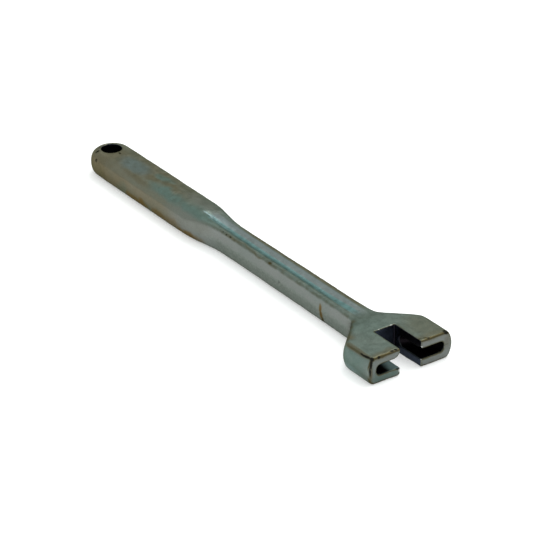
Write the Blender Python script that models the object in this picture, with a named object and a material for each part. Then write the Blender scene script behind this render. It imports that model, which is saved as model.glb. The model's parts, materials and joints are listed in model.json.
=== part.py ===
"""Fire hydrant wrench: one forged and plated steel bar with a square two-prong head.

Frame, in metres: the origin is the centre of the slot's back wall, at half thickness. +X runs
out through the mouth of the jaws, +Y is across the head and +Z is up through the thickness.
"""

import math

import bmesh
import bpy

MM = 0.001

# Driving dimensions
OVERALL_LENGTH = 305.0 * MM
HEAD_THICKNESS = 16.2 * MM
HEAD_FACE_WIDTH = 50.8 * MM
HEAD_BELLY_WIDTH = 56.4 * MM
SLOT_WIDTH = 14.1 * MM
SLOT_DEPTH = 23.0 * MM
T_GROOVE_HEIGHT = 6.4 * MM
T_GROOVE_RADIUS = 22.8 * MM
T_GROOVE_RIM_ROUNDING = 2.8 * MM
T_GROOVE_LAND = 3.4 * MM
SHANK_THICKNESS = 14.6 * MM
SHANK_FACE_WIDTH_AT_HEAD = 14.8 * MM
SHANK_FACE_WIDTH_AT_GRIP = 13.7 * MM
GRIP_THICKNESS = 16.2 * MM
GRIP_FACE_WIDTH = 22.4 * MM
GRIP_BELLY_WIDTH = 25.4 * MM
HANG_HOLE_DIAMETER = 12.8 * MM
CHANNEL_WIDTH = 8.0 * MM
CHANNEL_DEPTH = 1.4 * MM

# Places along the wrench
FRONT_X = SLOT_DEPTH
END_X = FRONT_X - OVERALL_LENGTH + GRIP_BELLY_WIDTH / 2
SHOULDER_X = 0.5 * MM
NECK_X = -18.0 * MM
HEAD_STEP = (-22.0 * MM, -9.0 * MM)
GRIP_STEP = (-141.0 * MM, -176.0 * MM)
DOME_X = -256.0 * MM
CHANNEL_TIP_X = -168.5 * MM
CHANNEL_TAPER_END_X = -142.0 * MM
CHANNEL_RUN_OUT_X = -52.0 * MM
CHANNEL_ROUND_START_X = -28.0 * MM
CHANNEL_ROUND_END_X = -15.0 * MM

# How the channel's depth falls with its width towards its ends: 1 is in proportion
CHANNEL_RISE = 1.3

# Draft and rounding; a side's curve is 1 where it is two flats that meet at the parting line,
# and 2 where it is one round belly
SHANK_SIDE_CURVE = 1.1
GRIP_SIDE_CURVE = 1.7
HEAD_SIDE_CURVE = 2.2
SHANK_DRAFT = 0.7 * MM
NECK_ROUNDING = 3.0 * MM
SHOULDER_ROUNDING = 1.4 * MM
HEAD_EDGE = 1.2 * MM
SHANK_EDGE = 1.5 * MM
GRIP_EDGE = 3.2 * MM
DOME_EDGE = 3.6 * MM
TIP_EDGE = 5.0 * MM
FRONT_EDGE = 1.0 * MM

# Fineness of the mesh
CHANNEL_STEPS = 4
EDGE_STEPS = 3
SIDE_STEPS = 4
FRONT_STEPS = 3
FAN_STEPS = 24
BORE_STEPS = 40
DISC_STEPS = 96
RIM_STEPS = 3
CUT_THROUGH = 10.0 * MM
WELD_DISTANCE = 0.0001 * MM
SMOOTH_ANGLE = math.radians(28.0)

# Stretches along X, each with its number of steps, from the front of the jaws to the grip's end
STRETCHES = (
    (FRONT_X - FRONT_EDGE, 4.0 * MM, 2),
    (4.0 * MM, -4.0 * MM, 7),
    (-4.0 * MM, -14.0 * MM, 5),
    (-14.0 * MM, CHANNEL_ROUND_END_X, 1),
    (CHANNEL_ROUND_END_X, -24.0 * MM, 9),
    (-24.0 * MM, CHANNEL_ROUND_START_X, 2),
    (CHANNEL_ROUND_START_X, CHANNEL_RUN_OUT_X, 4),
    (CHANNEL_RUN_OUT_X, GRIP_STEP[0], 5),
    (GRIP_STEP[0], CHANNEL_TIP_X, 9),
    (CHANNEL_TIP_X, GRIP_STEP[1], 3),
    (GRIP_STEP[1], DOME_X, 4),
    (DOME_X, END_X, 4),
)

PLATED_STEEL_COLOUR = (0.125, 0.152, 0.134, 1.0)
PLATED_STEEL_ROUGHNESS = 0.42


def clear_scene():
    for item in list(bpy.data.objects):
        bpy.data.objects.remove(item, do_unlink=True)


def mix(low, high, share):
    return low + (high - low) * share


def ease(value, start, end):
    """0 at start and 1 at end, level at both."""
    t = min(max((value - start) / (end - start), 0.0), 1.0)
    return t * t * (3.0 - 2.0 * t)


def soft_ramp(value, rounding):
    """The larger of value and 0, with the corner between them rounded."""
    return (value + math.hypot(value, rounding)) / 2


def face_half_width(x):
    """Half the width of the flat top at x, measured to its sharp corner."""
    shank = mix(SHANK_FACE_WIDTH_AT_GRIP, SHANK_FACE_WIDTH_AT_HEAD, ease(x, GRIP_STEP[0], NECK_X)) / 2
    bar = mix(shank, GRIP_FACE_WIDTH / 2, ease(x, *GRIP_STEP))
    head = HEAD_FACE_WIDTH / 2
    slope = (head - bar) / (SHOULDER_X - NECK_X)
    flared = bar + soft_ramp((x - NECK_X) * slope, NECK_ROUNDING)
    return flared - soft_ramp(flared - head, SHOULDER_ROUNDING)


def belly(x):
    """How far the side stands out at half thickness, past the corner of the flat top."""
    grip = (GRIP_BELLY_WIDTH - GRIP_FACE_WIDTH) / 2
    head = (HEAD_BELLY_WIDTH - HEAD_FACE_WIDTH) / 2
    bar = mix(SHANK_DRAFT, grip, ease(x, *GRIP_STEP))
    return mix(bar, head, ease(x, NECK_X, SHOULDER_X))


def side_curve(x):
    bar = mix(SHANK_SIDE_CURVE, GRIP_SIDE_CURVE, ease(x, *GRIP_STEP))
    return mix(bar, HEAD_SIDE_CURVE, ease(x, NECK_X, SHOULDER_X))


def half_thickness(x):
    bar = mix(SHANK_THICKNESS, GRIP_THICKNESS, ease(x, *GRIP_STEP)) / 2
    return mix(bar, HEAD_THICKNESS / 2, ease(x, *HEAD_STEP))


def edge_rounding(x):
    """Radius between the flat top and the side."""
    bar = mix(SHANK_EDGE, GRIP_EDGE, ease(x, *GRIP_STEP))
    domed = mix(bar, DOME_EDGE, ease(x, DOME_X, END_X))
    return mix(domed, HEAD_EDGE, ease(x, NECK_X, SHOULDER_X))


def channel_half_width(x):
    """Half the channel's width: pointed towards the grip, round towards the head."""
    full = CHANNEL_WIDTH / 2
    if x <= CHANNEL_TIP_X or x >= CHANNEL_ROUND_END_X:
        return 0.0
    if x < CHANNEL_TAPER_END_X:
        t = (CHANNEL_TAPER_END_X - x) / (CHANNEL_TAPER_END_X - CHANNEL_TIP_X)
        return full * math.sqrt(1.0 - t * t)
    if x > CHANNEL_ROUND_START_X:
        t = (x - CHANNEL_ROUND_START_X) / (CHANNEL_ROUND_END_X - CHANNEL_ROUND_START_X)
        return full * math.sqrt(1.0 - t * t)
    return full


def channel_depth(x):
    """The channel's depth at its middle: it falls with the width, and runs out towards the head."""
    narrowing = (2.0 * channel_half_width(x) / CHANNEL_WIDTH) ** CHANNEL_RISE
    return CHANNEL_DEPTH * narrowing * ease(x, CHANNEL_ROUND_END_X, CHANNEL_RUN_OUT_X)


def corner_arc(start, corner, end, t):
    """The point at t on the arc from start to end that leaves both along the corner's legs."""
    weights = ((1.0 - t) ** 2, math.sqrt(2.0) * t * (1.0 - t), t ** 2)
    total = sum(weights)
    across = (weights[0] * start[0] + weights[1] * corner[0] + weights[2] * end[0]) / total
    up = (weights[0] * start[1] + weights[1] * corner[1] + weights[2] * end[1]) / total
    return across, up


def quarter_profile(x, edge, inset):
    """Points (outward, up) of a section, from the top centre to the side at half thickness."""
    width = face_half_width(x) - inset
    top = half_thickness(x) - inset
    curve = side_curve(x)
    groove = channel_half_width(x)
    depth = channel_depth(x)
    points = []
    for step in range(CHANNEL_STEPS + 1):
        t = step / CHANNEL_STEPS
        points.append((groove * t, top - depth * (1.0 - t * t)))
    heights = [(top - edge) * (1.0 - step / SIDE_STEPS) for step in range(SIDE_STEPS + 1)]
    side = [(width + belly(x) * (1.0 - (z / top) ** curve), z) for z in heights]
    for step in range(EDGE_STEPS):
        points.append(corner_arc((width - edge, top), (width, top), side[0], step / EDGE_STEPS))
    return points + side


def half_profile(x, edge, inset=0.0):
    """The whole side of a section: the upper quarter, then its mirror image below."""
    upper = quarter_profile(x, edge, inset)
    lower = [(across, -up) for across, up in reversed(upper[:-1])]
    return upper + lower


def straight_rows():
    """(x, profile) from the front of the jaws to the start of the grip's round end."""
    rows = []
    for step in range(FRONT_STEPS):
        angle = math.pi / 2 * (1.0 - step / FRONT_STEPS)
        x = FRONT_X - FRONT_EDGE * (1.0 - math.sin(angle))
        inset = FRONT_EDGE * (1.0 - math.cos(angle))
        rows.append((x, half_profile(x, HEAD_EDGE, inset)))
    for start, end, count in STRETCHES:
        for step in range(count):
            x = mix(start, end, step / count)
            rows.append((x, half_profile(x, edge_rounding(x))))
    return rows


def outline_rows():
    """Rows of 3-D points that follow the wrench's outline all the way round."""
    sides = straight_rows()
    rows = [[(x, across, up) for across, up in profile] for x, profile in sides]
    for step in range(FAN_STEPS + 1):
        angle = math.pi * step / FAN_STEPS
        edge = mix(DOME_EDGE, TIP_EDGE, math.sin(angle))
        turn = (-math.sin(angle), math.cos(angle))
        profile = half_profile(END_X, edge)
        rows.append([(END_X + across * turn[0], across * turn[1], up) for across, up in profile])
    for x, profile in reversed(sides):
        rows.append([(x, -across, up) for across, up in profile])
    return rows


def forging_mesh():
    """The outside of the forging with both channels, before anything is cut from it."""
    mesh = bpy.data.meshes.new("wrench_forging")
    shape = bmesh.new()
    rows = [[shape.verts.new(point) for point in row] for row in outline_rows()]
    for row, following in zip(rows, rows[1:]):
        for index in range(len(row) - 1):
            shape.faces.new((row[index], row[index + 1], following[index + 1], following[index]))
    bmesh.ops.remove_doubles(shape, verts=shape.verts, dist=WELD_DISTANCE)
    rim = [edge for edge in shape.edges if edge.is_boundary]
    bmesh.ops.holes_fill(shape, edges=rim, sides=0)
    bmesh.ops.recalc_face_normals(shape, faces=shape.faces)
    shape.to_mesh(mesh)
    shape.free()
    return mesh


def add_cutter(name, shape):
    """An object that only shapes the others, from a filled bmesh."""
    mesh = bpy.data.meshes.new(name)
    bmesh.ops.recalc_face_normals(shape, faces=shape.faces)
    shape.to_mesh(mesh)
    shape.free()
    cutter = bpy.data.objects.new(name, mesh)
    bpy.context.collection.objects.link(cutter)
    cutter.display_type = "WIRE"
    cutter.hide_render = True
    return cutter


def slot_cutter():
    """The straight-sided slot between the jaws, open at the front, top and bottom."""
    shape = bmesh.new()
    bmesh.ops.create_cube(shape, size=1.0)
    length = SLOT_DEPTH + CUT_THROUGH
    size = (length, SLOT_WIDTH, HEAD_THICKNESS + 2 * CUT_THROUGH)
    bmesh.ops.scale(shape, vec=size, verts=shape.verts)
    bmesh.ops.translate(shape, vec=(length / 2, 0.0, 0.0), verts=shape.verts)
    return add_cutter("slot_cutter", shape)


def t_groove_cutter():
    """A disc with a rounded rim: the shape that a T-slot milling cutter leaves."""
    shape = bmesh.new()
    half = T_GROOVE_HEIGHT / 2
    radius = T_GROOVE_RADIUS
    rounding = T_GROOVE_RIM_ROUNDING
    rim = []
    for step in range(RIM_STEPS + 1):
        angle = math.pi / 2 * step / RIM_STEPS
        rim.append((radius - rounding * (1.0 - math.sin(angle)), half - rounding * (1.0 - math.cos(angle))))
    rim += [(across, -up) for across, up in reversed(rim)]
    turns = [2 * math.pi * step / DISC_STEPS for step in range(DISC_STEPS)]
    rings = []
    for across, up in rim:
        points = [(across * math.cos(turn), across * math.sin(turn), up) for turn in turns]
        rings.append([shape.verts.new(point) for point in points])
    for ring, following in zip(rings, rings[1:]):
        for index in range(DISC_STEPS):
            after = (index + 1) % DISC_STEPS
            shape.faces.new((ring[index], ring[after], following[after], following[index]))
    shape.faces.new(rings[0])
    shape.faces.new(rings[-1])
    cutter = add_cutter("t_groove_cutter", shape)
    cutter.location.x = T_GROOVE_LAND + math.sqrt(radius ** 2 - (SLOT_WIDTH / 2) ** 2)
    return cutter


def hang_hole_cutter():
    shape = bmesh.new()
    bmesh.ops.create_cone(
        shape,
        cap_ends=True,
        segments=BORE_STEPS,
        radius1=HANG_HOLE_DIAMETER / 2,
        radius2=HANG_HOLE_DIAMETER / 2,
        depth=GRIP_THICKNESS + 2 * CUT_THROUGH,
    )
    cutter = add_cutter("hang_hole_cutter", shape)
    cutter.location.x = END_X
    return cutter


def plated_steel():
    """Zinc-plated steel with a dull, grey-green passivated surface."""
    material = bpy.data.materials.new("plated_steel")
    material.use_nodes = True
    shader = material.node_tree.nodes["Principled BSDF"]
    shader.inputs["Base Color"].default_value = PLATED_STEEL_COLOUR
    shader.inputs["Metallic"].default_value = 1.0
    shader.inputs["Roughness"].default_value = PLATED_STEEL_ROUGHNESS
    return material


def wrench_forging():
    mesh = forging_mesh()
    mesh.shade_smooth()
    forging = bpy.data.objects.new("wrench_forging", mesh)
    bpy.context.collection.objects.link(forging)
    forging.data.materials.append(plated_steel())
    for cutter in (slot_cutter(), t_groove_cutter(), hang_hole_cutter()):
        cut = forging.modifiers.new(cutter.name, "BOOLEAN")
        cut.operation = "DIFFERENCE"
        cut.solver = "EXACT"
        cut.object = cutter
    mesh.set_sharp_from_angle(angle=SMOOTH_ANGLE)
    return forging


clear_scene()
wrench_forging()
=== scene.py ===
import json
import math

import bpy
import numpy as np
from mathutils import Matrix, Vector


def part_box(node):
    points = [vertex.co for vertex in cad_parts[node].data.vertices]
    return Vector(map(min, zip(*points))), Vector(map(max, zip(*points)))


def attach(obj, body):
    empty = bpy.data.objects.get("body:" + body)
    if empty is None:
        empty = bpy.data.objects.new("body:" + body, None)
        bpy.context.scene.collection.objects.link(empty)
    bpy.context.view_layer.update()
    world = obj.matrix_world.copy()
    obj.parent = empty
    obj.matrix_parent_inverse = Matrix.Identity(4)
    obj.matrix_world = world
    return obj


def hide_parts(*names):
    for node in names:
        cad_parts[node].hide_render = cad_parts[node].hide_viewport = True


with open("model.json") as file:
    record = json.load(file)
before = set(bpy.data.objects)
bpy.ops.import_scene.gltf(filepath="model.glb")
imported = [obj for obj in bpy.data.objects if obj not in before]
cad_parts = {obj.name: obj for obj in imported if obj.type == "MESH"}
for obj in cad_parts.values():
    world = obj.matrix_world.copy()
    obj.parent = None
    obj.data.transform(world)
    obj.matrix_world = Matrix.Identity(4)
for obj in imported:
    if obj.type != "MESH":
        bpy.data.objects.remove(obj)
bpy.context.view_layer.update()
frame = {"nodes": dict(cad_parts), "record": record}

# The visual model of a one-piece forged hydrant wrench. One skin, made from the CAD forging,
# carries the soft edges, the waviness, the dents and pits of the real metal. Metres, +Z up.

MM = 0.001
NODE = "wrench_forging"
MOUNTS = {mount["name"]: mount["pos_m"] for mount in frame["record"]["mounts"]}
OPENINGS = {item["name"]: np.array(item["box_m"]) for item in frame["record"]["physics"]["openings"]}
LOW, HIGH = (np.array(corner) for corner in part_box(NODE))

# Places read from the frame
FLOOR_Z = LOW[2] - 0.02 * MM
FRONT_X = HIGH[0]
HALF_THICK = HIGH[2]
SLOT_HALF = abs(MOUNTS["slot_wall_left"][1])
GROOVE_HALF = abs(MOUNTS["t_groove_floor_left"][2])
HOLE = OPENINGS["hang_hole"].mean(axis=0)

# The skin's mesh is this fine, and each smoothing round moves a point this share of the way
VOXEL = 0.40 * MM
HALFWAY = 0.5

# An edge that bends more sharply than this, in 1/m, can be nicked
SHARP_BEND = 250

CHANNEL_TIP_X = -168.5 * MM
CHANNEL_HEAD_X = -15.0 * MM
CHANNEL_HALF = 4.2 * MM

# The grip's broad faces are crowned: they fall by the crown from the middle to the edges. The
# upper near edge was dressed to a bevel, which starts at the ridge and has this slope.
GRIP_BEGINS = (-150 * MM, -176 * MM)
GRIP_CROWN = 1.3 * MM
GRIP_EDGE = 11.0 * MM
GRIP_RIDGE = 9.3 * MM
SHANK_RIDGE = 6.0 * MM
BEVEL_SLOPE = 0.85

STEEL = (0.129, 0.157, 0.138, 1.0)
# The sides' steel, painted lighter than the tops: a lit copy of the same steel
SIDE_STEEL_PAINTED_LIGHTER = (0.186, 0.200, 0.190, 1.0)
GRIP_FILM = (0.145, 0.140, 0.104, 1.0)
GRIP_SIDE_FILM = (0.158, 0.138, 0.098, 1.0)
TINTS = {
    "pale": (0.150, 0.158, 0.138, 1.0),
    "teal": (0.104, 0.152, 0.134, 1.0),
    "brown": (0.112, 0.098, 0.060, 1.0),
    "amber": (0.130, 0.088, 0.036, 1.0),
    "slate": (0.120, 0.149, 0.140, 1.0),
    "sepia": (0.055, 0.045, 0.020, 1.0),
    # glint: the colour of painted highlights
    "glint": (0.300, 0.400, 0.410, 1.0),
    # painted sparkle highlights
    "painted_sparkle": (0.700, 0.720, 0.700, 1.0),
}
CHANNEL_FILM = (0.140, 0.236, 0.234, 1.0)
CHANNEL_WALL = (0.176, 0.206, 0.204, 1.0)
# Painted shade low on the shank's sides, in two mottled tones
LOWER_SIDE_SHADE = (0.180, 0.200, 0.184, 1.0)
LOWER_SIDE_SHADE_MOTTLE = (0.146, 0.170, 0.154, 1.0)
# Brown stain along the edges, which is also painted shade that dims their highlights
EDGE_STAIN_AND_SHADE = (0.080, 0.082, 0.054, 1.0)
CHIP = (0.012, 0.012, 0.010, 1.0)
# Painted shade inside the slot, groove and hole: on upright walls and, lighter, on ledges
SLOT_WALL_SHADE = (0.026, 0.033, 0.056, 1.0)
SLOT_LEDGE_SHADE = (0.075, 0.110, 0.110, 1.0)
POCKET = (0.010, 0.008, 0.010, 1.0)
GRAZING_TINT = (0.42, 0.43, 0.37, 1.0)

# The studio: where it is darkest and where its wide light comes from, as directions from the
# wrench, and how far the floor reaches
DARK_WALL = (-0.72, 0.51, 0.47)
OVERHEAD = (-0.2, 0.5, 1.0)
FLOOR_REACH = 6.0

# The camera's place and turn, in metres and radians, and its lens on a sensor of this width, in mm
CAMERA_PLACE = (1.01146, -0.79125, 0.73666)
CAMERA_YAW = 0.61514
CAMERA_PITCH = 0.49438
CAMERA_ROLL = -0.00467
CAMERA_LENS = 187.37
CAMERA_SENSOR = 36.0

# Patches that reach less than this, in millimetres, have a plain outline
SMALL_PATCH = 3.0

# The plating's film and its stains, with painted highlights (glint, sparkles): (tint, centre, reach,
# strength), in millimetres. The reach is how far the patch spreads from its centre along X, Y and Z.
PATCHES = (
    # grip, upper face
    ("slate", (-241, -1.5, 8), (15, 6.5, 3), 1.0),
    ("teal", (-216, 3.0, 8), (8, 3.6, 3), 0.8),
    ("teal", (-199, -6.0, 8), (20, 5.0, 3), 1.0),
    ("teal", (-169, -6.0, 8), (20, 4.0, 3), 1.0),
    ("brown", (-221, -2.5, 8), (8, 3.4, 2), 0.6),
    ("brown", (-229, -9.0, 8), (16, 2.4, 2), 0.6),
    ("brown", (-206, 0.5, 8), (10, 2.6, 2), 0.5),
    ("brown", (-262, -3.0, 8), (9, 8.0, 3), 0.5),
    ("pale", (-178, 4.5, 8), (18, 4.5, 3), 0.7),
    # grip, near side and round end
    ("brown", (-264, -10.0, 0), (13, 6.0, 9), 0.9),
    ("brown", (-245, -12.0, -1), (14, 3.0, 7), 0.4),
    ("amber", (-227, -12.0, -4.5), (7, 4.0, 2.6), 0.8),
    ("amber", (-217, -12.0, -4.0), (8, 4.0, 2.8), 0.9),
    ("teal", (-238, -12.0, -3), (7, 3.0, 4), 0.45),
    ("teal", (-210, -12.0, -4), (5, 3.0, 3), 0.45),
    ("amber", (-198, -12.0, -4.0), (8, 4.0, 3.2), 0.7),
    ("amber", (-184, -11.0, -4.0), (10, 4.0, 3.6), 0.5),
    ("amber", (-174, -9.5, -5.5), (17, 4.0, 3.4), 1.0),
    ("pale", (-168, -10.0, 4), (24, 4.0, 6), 0.8),
    # grip, far side and underside
    ("brown", (-250, 11.0, 0), (18, 4.0, 8), 0.7),
    ("amber", (-214, 11.5, -3), (12, 4.0, 4), 0.6),
    ("teal", (-196, 11.0, 2), (12, 4.0, 5), 0.5),
    ("brown", (-232, 2.0, -8), (16, 7.0, 3), 0.7),
    ("teal", (-204, -2.0, -8), (14, 6.0, 3), 0.8),
    # channel, at its tip: painted highlights
    ("glint", (-162.5, -0.9, 7), (5.5, 0.9, 3), 1.0),
    ("glint", (-150.0, -2.6, 7), (9.0, 0.8, 3), 0.45),
    ("glint", (-153.0, 0.9, 7), (12.0, 1.8, 3), 0.25),
    # shank
    ("brown", (-133, -6.2, 7), (12, 1.3, 1.3), 0.7),
    ("brown", (-112, -6.3, 6.8), (22, 1.0, 1.2), 0.45),
    ("sepia", (-112, -6.4, 6.7), (22, 0.6, 0.8), 0.25),
    ("sepia", (-96.5, -6.0, 7.0), (1.7, 1.0, 1.0), 1.0),
    ("sepia", (-86.5, -6.0, 6.9), (5.0, 0.8, 0.8), 0.4),
    ("amber", (-46.5, -7.7, 1.4), (1.5, 1.6, 2.8), 1.0),
    ("amber", (-46.0, -7.7, -2.2), (1.5, 1.6, 2.9), 1.0),
    ("sepia", (-46.2, -7.7, -0.8), (0.8, 1.6, 4.6), 0.5),
    ("sepia", (-44.9, -7.5, -5.2), (1.2, 1.6, 2.0), 1.0),
    ("brown", (-63, 7.6, 1), (3.0, 1.6, 5.0), 0.8),
    # head
    ("teal", (-6, -5.0, 8), (14, 12.0, 3), 0.35),
    ("brown", (12, 19.0, 8), (16, 11.0, 2), 0.45),
    ("brown", (21, 17.0, 8), (5, 13.0, 2), 0.6),
    ("brown", (22, -18.0, 8), (4, 11.0, 2), 0.7),
    ("sepia", (9, -26.0, 7.5), (17, 0.7, 0.8), 0.7),
    ("brown", (9, -25.6, 7.8), (16, 1.6, 2), 0.8),
    ("sepia", (22.4, -17.0, 7.8), (0.9, 10.0, 0.9), 0.35),
    ("sepia", (22.4, 17.0, 7.8), (0.9, 8.0, 0.9), 0.45),
    ("sepia", (20.8, 8.0, 8.1), (0.9, 1.8, 0.8), 0.9),
    ("sepia", (21.5, 10.5, 8.0), (0.9, 2.0, 0.8), 1.0),
    ("sepia", (22.1, 13.2, 7.9), (0.9, 2.0, 0.8), 0.9),
    ("sepia", (22.9, -26.9, -3.0), (0.5, 0.7, 5.0), 0.5),
    # painted sparkle highlights along the slot's back top edge and on the front faces by the slot and
    # groove edges
    ("painted_sparkle", (-0.1, -3.8, 8.0), (0.3, 0.5, 0.4), 0.3),
    ("painted_sparkle", (-0.1, 1.9, 8.0), (0.3, 0.5, 0.4), 0.3),
    ("painted_sparkle", (-0.1, 4.4, 8.0), (0.4, 0.8, 0.4), 0.4),
    ("painted_sparkle", (22.7, 7.3, -3.2), (0.7, 0.7, 0.5), 1.0),
    ("painted_sparkle", (22.7, -7.6, -4.8), (0.5, 0.6, 1.0), 0.8),
    ("painted_sparkle", (22.8, 7.4, 4.4), (0.5, 0.6, 0.7), 0.7),
    ("brown", (-4, -21.5, 6), (5, 3.5, 5), 0.8),
    ("brown", (-16.5, -9.8, 7.5), (2.6, 2.4, 1.4), 0.6),
    ("brown", (-11.8, -14.4, 7.5), (2.6, 2.4, 1.4), 0.6),
    ("brown", (-7.2, -19.0, 7.5), (2.6, 2.4, 1.4), 0.6),
    ("brown", (23, -26.5, 1), (1.4, 1.2, 9), 0.8),
    ("teal", (23, -17.0, -5), (3, 11.0, 5), 0.9),
    ("teal", (6, -27.0, 1), (20, 3.0, 10), 0.9),
    # painted highlight: a lighter stretch low on the left jaw's side
    ("glint", (3, -27.5, -6.0), (14, 3.0, 3.8), 0.5),
    ("brown", (20, 25.0, 3), (6, 3.0, 6), 0.5),
)

# Black chips and pits where the plating has gone, in the same form without a tint
CHIPS = (
    ((-271.6, -8.6, 7.6), (1.2, 2.0, 1.4), 1.0),
    ((-274.6, -4.8, 7.8), (0.8, 1.6, 1.2), 0.5),
    ((-267.5, -11.9, 4.2), (1.4, 1.4, 1.4), 0.7),
    ((-260.6, 0.6, 8.1), (2.0, 1.0, 0.8), 0.75),
    ((-245.5, -9.2, 8.0), (1.2, 0.9, 0.8), 0.4),
    ((-142.0, -6.2, 7.0), (1.4, 0.8, 0.9), 0.62),
    ((-138.5, -6.2, 7.0), (1.0, 0.8, 0.9), 0.6),
    ((-134.8, -6.3, 7.0), (1.8, 0.8, 0.9), 0.62),
    ((-130.0, -6.3, 7.0), (2.0, 0.8, 0.9), 0.62),
    ((-94.0, 6.3, 6.6), (11.0, 1.2, 1.2), 0.65),
    ((-41.0, 6.6, 6.6), (11.0, 1.2, 1.2), 0.75),
    ((-44.0, -7.0, -6.6), (3.4, 1.4, 1.4), 0.9),
    ((-85.6, -7.8, -0.3), (1.2, 1.4, 1.2), 0.45),
    ((17.2, -25.9, 7.6), (5.0, 0.7, 0.9), 0.9),
    ((21.8, -25.4, 7.4), (1.8, 1.2, 1.2), 1.0),
    ((22.7, -26.3, 5.0), (0.9, 0.9, 3.8), 1.0),
    ((22.8, -26.9, 0.8), (0.8, 0.8, 3.2), 0.85),
    ((22.5, -21.2, 7.8), (1.1, 1.4, 1.1), 1.0),
    ((22.2, -11.8, 7.9), (1.0, 1.2, 1.1), 0.85),
    ((22.3, -9.5, 7.9), (1.0, 1.2, 1.1), 0.9),
    ((22.4, -8.6, -3.3), (1.1, 1.3, 0.9), 1.0),
    ((22.0, 12.6, 8.0), (0.8, 1.6, 0.8), 0.7),
    ((21.9, 23.9, 7.5), (2.0, 1.7, 1.5), 1.0),
    ((23.0, 24.5, 0.6), (0.8, 1.8, 0.5), 0.4),
)


def mix(low, high, share):
    return low + (high - low) * share


def ease(value, start, end):
    """0 at start and 1 at end, level at both; works on arrays."""
    t = np.clip((value - start) / (end - start), 0.0, 1.0)
    return t * t * (3.0 - 2.0 * t)


# ---------------------------------------------------------------- mesh helpers


def read_points(mesh):
    flat = np.empty(len(mesh.vertices) * 3, np.float32)
    mesh.vertices.foreach_get("co", flat)
    return flat.reshape(-1, 3).astype(float)


def write_points(mesh, points):
    mesh.vertices.foreach_set("co", points.astype(np.float32).ravel())
    mesh.update()


def read_normals(mesh):
    flat = np.empty(len(mesh.vertices) * 3, np.float32)
    mesh.vertices.foreach_get("normal", flat)
    return flat.reshape(-1, 3).astype(float)


def read_edges(mesh):
    flat = np.empty(len(mesh.edges) * 2, np.int32)
    mesh.edges.foreach_get("vertices", flat)
    return flat.reshape(-1, 2)


def neighbour_mean(values, edges, count):
    """The mean of each vertex's neighbours, for an array of one or more columns."""
    first = np.concatenate((edges[:, 0], edges[:, 1]))
    second = np.concatenate((edges[:, 1], edges[:, 0]))
    valence = np.maximum(np.bincount(first, minlength=count), 1)
    columns = values.reshape(count, -1).T
    sums = [np.bincount(first, weights=column[second], minlength=count) for column in columns]
    return (np.stack(sums, axis=1) / valence[:, None]).reshape(values.shape)


def smooth(points, edges, share, rounds):
    """Moves each point its share of the way to its neighbours' mean, and repeats."""
    for _ in range(rounds):
        points = points + (neighbour_mean(points, edges, len(points)) - points) * share[:, None]
    return points


def convexity(points, normals, edges):
    """How sharply the surface bends at each point: above 0 on an edge, below 0 in a corner. 1/m."""
    step = points[edges[:, 1]] - points[edges[:, 0]]
    turn = normals[edges[:, 1]] - normals[edges[:, 0]]
    bend = (step * turn).sum(axis=1) / np.maximum((step * step).sum(axis=1), 1e-12)
    count = len(points)
    total = np.bincount(edges[:, 0], weights=bend, minlength=count)
    total += np.bincount(edges[:, 1], weights=bend, minlength=count)
    valence = np.bincount(edges.ravel(), minlength=count)
    return total / np.maximum(valence, 1)


def waves(points, wavelength, seed, count=26):
    """A smooth random field of unit strength whose ripples are about one wavelength long."""
    rng = np.random.default_rng(seed)
    total = np.zeros(len(points))
    for _ in range(count):
        direction = rng.normal(size=3)
        direction *= 2 * math.pi / (np.linalg.norm(direction) * wavelength * rng.uniform(0.7, 1.5))
        total += np.sin(points @ direction + rng.uniform(0, 2 * math.pi))
    return total / math.sqrt(count / 2)


def add_attribute(mesh, name, values):
    layer = mesh.attributes.new(name, "FLOAT", "POINT")
    layer.data.foreach_set("value", values.astype(np.float32))


# ---------------------------------------------------------------- the skin


def remeshed_copy(node):
    """The node's solid as an even, fine mesh of quads."""
    source = bpy.data.objects.new("remesh_source", frame["nodes"][node].data.copy())
    bpy.context.scene.collection.objects.link(source)
    remesh = source.modifiers.new("remesh", "REMESH")
    remesh.mode = "VOXEL"
    remesh.voxel_size = VOXEL
    evaluated = source.evaluated_get(bpy.context.evaluated_depsgraph_get())
    mesh = bpy.data.meshes.new_from_object(evaluated)
    bpy.data.objects.remove(source, do_unlink=True)
    return mesh


def machined_share(points):
    """1 near the milled slot, T-groove and hang hole, whose edges are crisp, and 0 elsewhere."""
    x, y, z = points.T
    reach = 1.6 * MM
    slot = ease(np.abs(y), SLOT_HALF + reach, SLOT_HALF + reach / 2) * ease(x, -reach, -reach / 2)
    groove = ease(np.abs(z), GROOVE_HALF + reach, GROOVE_HALF + reach / 2) * ease(x, 2 * MM, 4 * MM)
    groove = groove * ease(np.abs(y), 26.0 * MM, 24.5 * MM)
    around = np.hypot(x - HOLE[0], y - HOLE[1])
    hole = ease(around, 8.2 * MM, 7.4 * MM)
    return np.maximum(np.maximum(slot, groove), hole)


def round_corner(points, corner, into, radius, stretch):
    """Rounds a corner that runs along X. Corner is its (y, z), into the signs of (y, z) that lead
    into the metal, and the rounding grows over the stretch (from, to) of x."""
    x = points[:, 0]
    across = radius - (points[:, 1] - corner[0]) * into[0]
    down = radius - (points[:, 2] - corner[1]) * into[1]
    near = (across > 0) & (down > 0) & (across < radius * 1.05) & (down < radius * 1.05)
    distance = np.maximum(np.hypot(across, down), 1e-9)
    square_edge = radius * distance / np.maximum(np.maximum(across, down), 1e-9)
    scale = np.where(near, mix(1.0, radius / square_edge, ease(x, *stretch)), 1.0)
    moved = points.copy()
    moved[:, 1] = corner[0] + into[0] * (radius - across * scale)
    moved[:, 2] = corner[1] + into[1] * (radius - down * scale)
    return np.where(near[:, None], moved, points)


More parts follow.
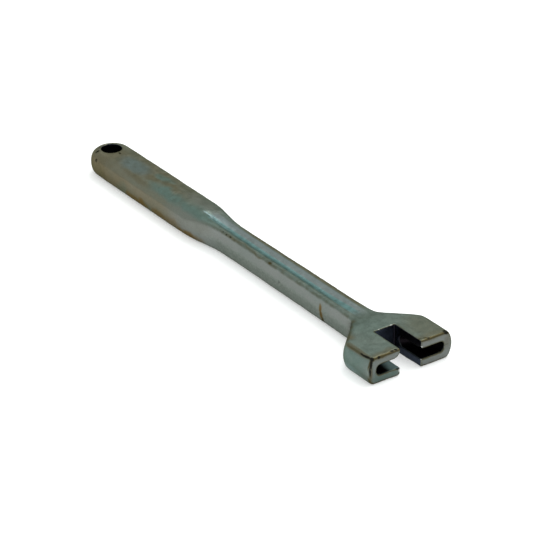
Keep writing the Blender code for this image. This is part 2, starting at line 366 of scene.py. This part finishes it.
def dressed_grip(points):
    """Crowns the grip's broad faces, bevels its upper near edge and rounds its tip underneath."""
    x, y, z = points.T
    across = np.maximum(np.where(x < HOLE[0], np.hypot(x - HOLE[0], y), np.abs(y)), 0.01 * MM)
    share = ease(x, *GRIP_BEGINS)
    crown = GRIP_CROWN * (across / GRIP_EDGE) ** 2 * mix(1.0, 0.3, ease(x, -260 * MM, -272 * MM))
    bevel = BEVEL_SLOPE * np.maximum(across - mix(SHANK_RIDGE, GRIP_RIDGE, share), 0.0)
    near = ease(y / across, 0.2, -0.5)
    tip = ease(x, HOLE[0] - 3 * MM, HOLE[0] - 10 * MM)
    dressed = points.copy()
    top = HALF_THICK - share * (crown + bevel * near)
    bottom = HALF_THICK - share * (crown + bevel * tip)
    dressed[:, 2] = np.clip(z, -bottom, top)
    return dressed


def worn_jaws(points):
    """Rounds the corners of the jaws' lips where they are worn at the front."""
    behind = FRONT_X - 13 * MM
    ahead = FRONT_X - 4 * MM
    points = round_corner(points, (-SLOT_HALF, GROOVE_HALF), (-1, 1), 4.2 * MM, (behind, ahead))
    points = round_corner(points, (-SLOT_HALF, -HALF_THICK), (-1, 1), 1.6 * MM, (behind, ahead))
    points = round_corner(points, (SLOT_HALF, GROOVE_HALF), (1, 1), 1.8 * MM, (ahead, FRONT_X - 1 * MM))
    return round_corner(points, (SLOT_HALF, -HALF_THICK), (1, 1), 1.1 * MM, (behind, ahead))


def dent(points, centre, radius, depth):
    """Depth of a round dent at each point."""
    away = np.linalg.norm(points - centre, axis=1) / radius
    return depth * np.exp(-away ** 2 * 2.0)


def scattered_dents(points, allowed, count, radii, depths, seed):
    rng = np.random.default_rng(seed)
    picks = np.nonzero(allowed)[0]
    total = np.zeros(len(points))
    for _ in range(count):
        centre = points[picks[rng.integers(len(picks))]]
        total += dent(points, centre, rng.uniform(*radii), rng.uniform(*depths))
    return total


def inside_share(points, normals):
    """1 on the walls of the slot, the T-groove and the hang hole, where shade is painted, and 0 outside
    them.
    """
    x, y, z = points.T
    behind = FRONT_X - x
    soft = 0.5 * MM
    wall = ease(np.abs(normals[:, 2]), 0.75, 0.5)
    slot = ease(np.abs(y), SLOT_HALF + soft, SLOT_HALF) * ease(x, -soft, 0.0) * wall
    slot = slot * ease(HALF_THICK - np.abs(z), 0.1 * MM, 0.5 * MM) * ease(behind, 0.1 * MM, 0.8 * MM)
    groove = ease(np.abs(z), GROOVE_HALF + soft, GROOVE_HALF) * ease(x, 2.0 * MM, 4.0 * MM)
    groove = groove * ease(behind, 0.0, 1.0 * MM) * ease(np.abs(y), 24.5 * MM, 23.5 * MM)
    hole = ease(np.hypot(x - HOLE[0], y - HOLE[1]), 6.9 * MM, 6.5 * MM) * wall
    return np.maximum(np.maximum(slot, groove), hole)


def pocket_share(points):
    """1 where no light reaches: deep in the T-groove, above it on the right wall, down the hole."""
    x, y, z = points.T
    behind = FRONT_X - x
    below = HALF_THICK - z
    past_wall = y - SLOT_HALF
    in_groove = ease(x, 2.6 * MM, 3.6 * MM)
    groove = ease(np.abs(z), GROOVE_HALF + 0.3 * MM, GROOVE_HALF) * ease(behind, 0.4 * MM, 1.6 * MM)
    groove = groove * np.maximum(ease(past_wall, 0.0, 0.6 * MM), ease(y, -12.0 * MM, -15.0 * MM))
    groove = groove * ease(np.abs(y), 24.3 * MM, 23.6 * MM) * in_groove
    flange = ease(past_wall, -0.5 * MM, -0.1 * MM) * ease(past_wall, 0.6 * MM, 0.2 * MM)
    flange = flange * ease(z, 2.0 * MM, 3.4 * MM) * ease(below, 0.1 * MM, 0.6 * MM)
    flange = flange * ease(x, 1.5 * MM, 5.0 * MM) * ease(behind, 0.5 * MM, 1.2 * MM)
    corner = ease(np.hypot(x, past_wall), 1.5 * MM, 0.7 * MM) * ease(below, 0.2 * MM, 0.8 * MM)
    entry = ease(np.abs(past_wall), 0.9 * MM, 0.5 * MM) * in_groove
    entry = entry * ease(np.abs(z), GROOVE_HALF + 0.9 * MM, GROOVE_HALF)
    entry = entry * ease(behind, 0.8 * MM, 1.6 * MM)
    hole = ease(np.hypot(x - HOLE[0], y - HOLE[1]), 7.0 * MM, 6.5 * MM)
    hole = hole * ease(below, 0.3 * MM, 1.5 * MM)
    return np.maximum.reduce((groove, 0.85 * flange, 0.85 * corner, 0.7 * entry, hole))


def patch_share(points, centre, reach):
    """1 in the middle of a patch, falling to 0 past its reach."""
    away = np.linalg.norm((points - np.array(centre) * MM) / (np.array(reach) * MM), axis=1)
    return ease(away, 1.35, 0.45)


def far_rim_share(points):
    """1 along the channel's far rim, on the upper face and underneath."""
    x, y, z = points.T
    rim = ease(y, 3.7 * MM, 4.6 * MM) * ease(np.abs(z), 5.6 * MM, 6.4 * MM)
    return rim * ease(x, -150 * MM, -125 * MM) * ease(x, -20 * MM, -32 * MM)


def channel_share(points):
    """1 in the channels, fading at the tip and before the head."""
    x, y = points[:, 0], points[:, 1]
    across = ease(np.abs(y), CHANNEL_HALF, CHANNEL_HALF * 0.8)
    begun = ease(x, CHANNEL_TIP_X + 2 * MM, CHANNEL_TIP_X + 9 * MM)
    return across * begun * ease(x, CHANNEL_HEAD_X, CHANNEL_HEAD_X - 14 * MM)


def film_shares(points):
    """How much of each tint, of chips and of the channel's film covers each point."""
    wander = np.stack([waves(points, 12 * MM, seed) for seed in (31, 32, 33)], axis=1)
    wander += 0.35 * np.stack([waves(points, 4.5 * MM, seed) for seed in (34, 35, 36)], axis=1)
    calm = mix(0.8, 0.35, ease(points[:, 0], -30 * MM, -15 * MM))[:, None]
    shifted = points + calm * wander * np.array((1.3, 0.6, 0.6)) * MM
    jitter = points + 0.2 * MM * wander
    shares = {name: np.zeros(len(points)) for name in (*TINTS, "chip")}
    for tint, centre, reach, strength in PATCHES:
        placed = jitter if max(reach[0], reach[2]) < SMALL_PATCH else shifted
        shares[tint] = np.maximum(shares[tint], strength * patch_share(placed, centre, reach))
    for centre, reach, strength in CHIPS:
        shares["chip"] = np.maximum(shares["chip"], strength * patch_share(jitter, centre, reach))
    shares["brown"] = np.maximum(shares["brown"], 0.8 * far_rim_share(points))
    shares["channel"] = channel_share(points)
    return shares


def relief(points, machined, bend, chips):
    """How far the surface stands out: gentle waves, less the dents, the nicked edges and chips."""
    lift = 0.040 * MM * waves(points, 24 * MM, 11)
    lift += 0.016 * MM * waves(points, 7 * MM, 12)
    dented = machined < 0.1
    lift -= scattered_dents(points, dented, 60, (0.7 * MM, 2.2 * MM), (0.02 * MM, 0.08 * MM), 21)
    on_edge = (machined < 0.5) & (bend > SHARP_BEND)
    lift -= scattered_dents(points, on_edge, 60, (0.5 * MM, 1.3 * MM), (0.04 * MM, 0.18 * MM), 22)
    return lift - 0.12 * MM * chips


def softened(points, edges, forged):
    """Rounds the edges: everywhere a little, forged metal more, the grip and the neck most."""
    points = smooth(points, edges, HALFWAY * np.ones(len(points)), 2)
    points = smooth(points, edges, HALFWAY * forged, 7)
    x = points[:, 0]
    grip = ease(x, -140 * MM, -172 * MM)
    neck = ease(x, -22 * MM, -16 * MM) * ease(x, -3 * MM, -8 * MM)
    return smooth(points, edges, HALFWAY * np.maximum(0.3 * grip, neck) * forged, 30)


def build_skin():
    """The finished surface of the whole forging, with what its material reads at each point."""
    mesh = remeshed_copy(NODE)
    edges = read_edges(mesh)
    points = read_points(mesh)
    count = len(points)
    inside = inside_share(points, read_normals(mesh))
    pocket = pocket_share(points)
    machined = machined_share(points)
    forged = 1.0 - machined
    points = softened(dressed_grip(worn_jaws(points)), edges, forged)
    write_points(mesh, points)
    normals = read_normals(mesh)
    bend = convexity(points, normals, edges)
    for _ in range(3):
        bend = neighbour_mean(bend, edges, count)
    shares = film_shares(points)
    lift = relief(points, machined, bend, shares["chip"]) * mix(0.25, 1.0, forged)
    points = np.clip(points + normals * lift[:, None], LOW, HIGH)
    write_points(mesh, points)
    shares.update(bend=bend * MM, inside=inside, pocket=pocket)
    for name, share in shares.items():
        add_attribute(mesh, name, share)
    mesh.polygons.foreach_set("use_smooth", np.ones(len(mesh.polygons), bool))
    mesh.update()
    skin = bpy.data.objects.new("wrench_forging_skin", mesh)
    bpy.context.scene.collection.objects.link(skin)
    return skin


# ---------------------------------------------------------------- materials


class Graph:
    """Short calls for adding nodes to a material or a world."""

    def __init__(self, tree):
        self.tree = tree

    def node(self, kind, **settings):
        made = self.tree.nodes.new(kind)
        for name, value in settings.items():
            setattr(made, name, value)
        return made

    def feed(self, value, socket):
        if isinstance(value, bpy.types.NodeSocket):
            self.tree.links.new(value, socket)
        elif value is not None:
            socket.default_value = value

    def math(self, operation, first, second=None):
        made = self.node("ShaderNodeMath", operation=operation)
        self.feed(first, made.inputs[0])
        self.feed(second, made.inputs[1])
        return made.outputs[0]

    def blend(self, share, low, high, mode="MIX"):
        made = self.node("ShaderNodeMix", data_type="RGBA", blend_type=mode)
        self.feed(share, made.inputs[0])
        self.feed(low, made.inputs[6])
        self.feed(high, made.inputs[7])
        return made.outputs[2]

    def fade(self, value, start, end, low=0.0, high=1.0):
        made = self.node("ShaderNodeMapRange", interpolation_type="SMOOTHSTEP")
        self.feed(value, made.inputs[0])
        for index, number in enumerate((start, end, low, high)):
            made.inputs[index + 1].default_value = number
        return made.outputs[0]

    def noise(self, vector, scale, detail=3.0, roughness=0.55, distortion=0.0):
        made = self.node("ShaderNodeTexNoise")
        self.feed(vector, made.inputs["Vector"])
        made.inputs["Scale"].default_value = scale
        made.inputs["Detail"].default_value = detail
        made.inputs["Roughness"].default_value = roughness
        made.inputs["Distortion"].default_value = distortion
        return made.outputs["Fac"]

    def axis(self, vector, index):
        made = self.node("ShaderNodeSeparateXYZ")
        self.feed(vector, made.inputs[0])
        return made.outputs[index]

    def grey(self, value):
        made = self.node("ShaderNodeCombineColor")
        for socket in made.inputs[:3]:
            self.feed(value, socket)
        return made.outputs[0]

    def attribute(self, name):
        return self.node("ShaderNodeAttribute", attribute_name=name).outputs["Fac"]

    def times(self, first, second):
        return self.math("MULTIPLY", first, second)

    def toned(self, colour, value):
        """The colour, brighter or darker by a factor."""
        return self.blend(1.0, colour, self.grey(value), "MULTIPLY")


class Surface:
    """What the material's coats share: the place, the way the surface faces, and noises."""

    def __init__(self, g):
        self.place = g.node("ShaderNodeTexCoord").outputs["Object"]
        self.x = g.axis(self.place, 0)
        self.y = g.axis(self.place, 1)
        self.z = g.axis(self.place, 2)
        normal = g.node("ShaderNodeNewGeometry").outputs["Normal"]
        self.forward = g.axis(normal, 0)
        self.level = g.math("ABSOLUTE", g.axis(normal, 2))
        self.upright = g.fade(self.level, 0.75, 0.35)
        self.film = g.noise(self.place, 55.0, 3.0, 0.5, 0.6)
        self.blotch = g.noise(self.place, 320.0, 4.0, 0.6)
        self.grain = g.noise(self.place, 1500.0, 3.0, 0.6)
        self.worn = g.fade(self.blotch, 0.34, 0.60, 0.85, 1.0)


def base_coat(g, at):
    """The steel's tone, painted lighter on upright faces, turning to the grip's, with the bluish film
    of the channel.
    """
    # painted light: upright faces take the lighter side steel
    steel = g.blend(at.upright, STEEL, SIDE_STEEL_PAINTED_LIGHTER)
    gripped = g.blend(at.upright, GRIP_FILM, GRIP_SIDE_FILM)
    colour = g.blend(g.fade(at.x, -168 * MM, -200 * MM), steel, gripped)
    colour = g.blend(g.fade(at.film, 0.40, 0.66, 0.0, 0.18), colour, TINTS["teal"])
    near_wall = g.fade(at.y, 0.9 * MM, 0.1 * MM)
    filmed = g.times(near_wall, g.fade(at.x, -14 * MM, -30 * MM))
    channel = g.blend(filmed, CHANNEL_WALL, CHANNEL_FILM)
    colour = g.blend(g.attribute("channel"), colour, channel)
    return g.toned(colour, g.fade(at.blotch, 0.30, 0.70, 0.95, 1.05))


def shaded_lower_sides(g, at, colour):
    """A mottled band of painted shade low on the sides of the shank."""
    ragged = g.times(g.math("SUBTRACT", at.blotch, 0.5), 4 * MM)
    height = g.math("ADD", at.z, ragged)
    shank = g.times(g.fade(at.x, -18 * MM, -26 * MM), g.fade(at.x, -164 * MM, -144 * MM))
    below = g.times(g.fade(height, 2.2 * MM, 0.6 * MM), g.times(shank, at.upright))
    mottle = g.fade(g.noise(at.place, 650.0, 3.0, 0.7), 0.36, 0.64)
    return g.blend(below, colour, g.blend(mottle, LOWER_SIDE_SHADE_MOTTLE, LOWER_SIDE_SHADE))


def stains_and_painted_light(g, at, colour):
    """The patches of film, with painted highlights among them, then the metal's fine grain, and painted
    shade that darkens the faces looking forward.
    """
    # the glint patches among these are painted highlights
    for tint in ("pale", "slate", "teal", "brown", "amber", "glint"):
        colour = g.blend(g.times(g.attribute(tint), at.worn), colour, TINTS[tint])
    colour = g.toned(colour, g.fade(at.grain, 0.30, 0.70, 0.93, 1.07))
    # painted shade: faces that look forward are darkened
    return g.toned(colour, g.fade(at.forward, 0.60, 0.80, 1.0, 0.78))


def stained_and_shaded_edges(g, at, colour):
    """Broken brown lines along the edges and a brown band on the head's front edges: partly stain,
    partly painted shade that dims the edges' highlights.
    """
    outside = g.math("SUBTRACT", 1.0, g.attribute("inside"))
    broken = g.fade(g.noise(at.place, 170.0, 3.0, 0.6), 0.34, 0.62, 0.05, 0.70)
    edge = g.times(g.fade(g.attribute("bend"), 0.08, 0.32), broken)
    edge = g.times(edge, g.fade(at.x, *GRIP_BEGINS, 1.0, 0.25))
    colour = g.blend(g.times(edge, outside), colour, EDGE_STAIN_AND_SHADE)
    # brown stain and painted shade on the edges that face forward and up, dimming their highlight
    band = g.times(g.fade(at.forward, 0.14, 0.34), g.fade(at.level, 0.10, 0.30))
    band = g.times(band, g.fade(at.x, -3 * MM, -1 * MM, 0.0, 0.85))
    colour = g.blend(band, colour, TINTS["sepia"])
    return g.blend(g.times(g.attribute("sepia"), at.worn), colour, TINTS["sepia"])


def chips_and_walls(g, at, colour):
    """Black chips, painted shade that darkens the walls of the slot and groove, unlit pockets, and
    painted sparkle highlights.
    """
    chip = g.attribute("chip")
    ragged = g.math("ADD", chip, g.fade(at.blotch, 0.35, 0.65, -0.35, 0.35))
    chipped = g.times(g.fade(ragged, 0.30, 0.62), g.fade(chip, 0.0, 0.9))
    colour = g.blend(chipped, colour, CHIP)
    # painted shade on the inner walls, lighter on ledges that face up
    wall = g.blend(at.upright, SLOT_LEDGE_SHADE, SLOT_WALL_SHADE)
    colour = g.blend(g.times(g.attribute("inside"), 0.92), colour, wall)
    colour = g.blend(g.attribute("pocket"), colour, POCKET)
    # painted sparkle highlights
    return g.blend(g.attribute("painted_sparkle"), colour, TINTS["painted_sparkle"])


def fine_bump(g, at):
    """A normal roughened by the grain and the blotches of the plating."""
    bump = g.node("ShaderNodeBump")
    bump.inputs["Strength"].default_value = 0.5
    bump.inputs["Distance"].default_value = 0.07 * MM
    g.feed(g.math("ADD", at.grain, g.times(at.blotch, 1.6)), bump.inputs["Height"])
    return bump.outputs[0]


def plated_steel():
    """Forged steel under dull, stained plating."""
    material = bpy.data.materials.new("plated_steel")
    material.use_nodes = True
    g = Graph(material.node_tree)
    at = Surface(g)
    colour = base_coat(g, at)
    for coat in (shaded_lower_sides, stains_and_painted_light, stained_and_shaded_edges, chips_and_walls):
        colour = coat(g, at, colour)
    shader = material.node_tree.nodes["Principled BSDF"]
    g.feed(colour, shader.inputs["Base Color"])
    g.feed(g.fade(at.blotch, 0.3, 0.7, 0.34, 0.46), shader.inputs["Roughness"])
    g.feed(fine_bump(g, at), shader.inputs["Normal"])
    shader.inputs["Metallic"].default_value = 1.0
    shader.inputs["Specular Tint"].default_value = GRAZING_TINT
    return material


def floor_material():
    material = bpy.data.materials.new("floor_white")
    material.use_nodes = True
    shader = material.node_tree.nodes["Principled BSDF"]
    shader.inputs["Base Color"].default_value = (0.74, 0.74, 0.74, 1.0)
    shader.inputs["Emission Color"].default_value = (1.0, 1.0, 1.0, 1.0)
    shader.inputs["Emission Strength"].default_value = 0.34
    shader.inputs["Roughness"].default_value = 0.9
    shader.inputs["Specular IOR Level"].default_value = 0.0
    return material


# ---------------------------------------------------------------- studio


def add_floor():
    mesh = bpy.data.meshes.new("floor")
    signs = ((-1, -1), (1, -1), (1, 1), (-1, 1))
    corners = [(FLOOR_REACH * along, FLOOR_REACH * across, FLOOR_Z) for along, across in signs]
    mesh.from_pydata(corners, [], [(0, 1, 2, 3)])
    mesh.materials.append(floor_material())
    floor = bpy.data.objects.new("floor", mesh)
    bpy.context.scene.collection.objects.link(floor)


def add_overhead():
    """A wide, soft light from above."""
    light = bpy.data.lights.new("overhead", "SUN")
    light.angle = math.radians(42.0)
    light.energy = 1.5
    lamp = bpy.data.objects.new("overhead", light)
    lamp.rotation_euler = Vector(OVERHEAD).to_track_quat("Z", "Y").to_euler()
    bpy.context.scene.collection.objects.link(lamp)


def add_world():
    """A pale studio, a little darker low down behind the wrench."""
    world = bpy.data.worlds.new("studio")
    world.use_nodes = True
    g = Graph(world.node_tree)
    towards = g.node("ShaderNodeVectorMath", operation="DOT_PRODUCT")
    g.feed(g.node("ShaderNodeTexCoord").outputs["Generated"], towards.inputs[0])
    towards.inputs[1].default_value = DARK_WALL
    background = world.node_tree.nodes["Background"]
    background.inputs["Color"].default_value = (0.96, 1.0, 0.985, 1.0)
    g.feed(g.fade(towards.outputs["Value"], 0.78, 0.97, 1.08, 0.80), background.inputs["Strength"])
    bpy.context.scene.world = world


def add_camera():
    """Above and in front of the left jaw, looking back along the wrench towards the grip."""
    flat = math.cos(CAMERA_PITCH)
    heading = (-flat * math.cos(CAMERA_YAW), flat * math.sin(CAMERA_YAW), -math.sin(CAMERA_PITCH))
    ahead = Vector(heading)
    right = ahead.cross(Vector((0.0, 0.0, 1.0))).normalized()
    up = right.cross(ahead)
    tilted_right = right * math.cos(CAMERA_ROLL) + up * math.sin(CAMERA_ROLL)
    tilted_up = up * math.cos(CAMERA_ROLL) - right * math.sin(CAMERA_ROLL)
    data = bpy.data.cameras.new("camera")
    data.lens = CAMERA_LENS
    data.sensor_width = CAMERA_SENSOR
    camera = bpy.data.objects.new("camera", data)
    turn = Matrix((tilted_right, tilted_up, -ahead)).transposed().to_4x4()
    camera.matrix_world = Matrix.Translation(CAMERA_PLACE) @ turn
    bpy.context.scene.collection.objects.link(camera)
    bpy.context.scene.camera = camera


def add_studio():
    add_floor()
    add_world()
    add_overhead()
    add_camera()
    scene = bpy.context.scene
    scene.view_settings.view_transform = "Standard"
    scene.view_settings.look = "None"
    scene.view_settings.exposure = 0.0
    scene.view_settings.gamma = 1.0


skin = build_skin()
skin.data.materials.clear()
skin.data.materials.append(plated_steel())
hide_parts(NODE)
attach(skin, "root")
add_studio()
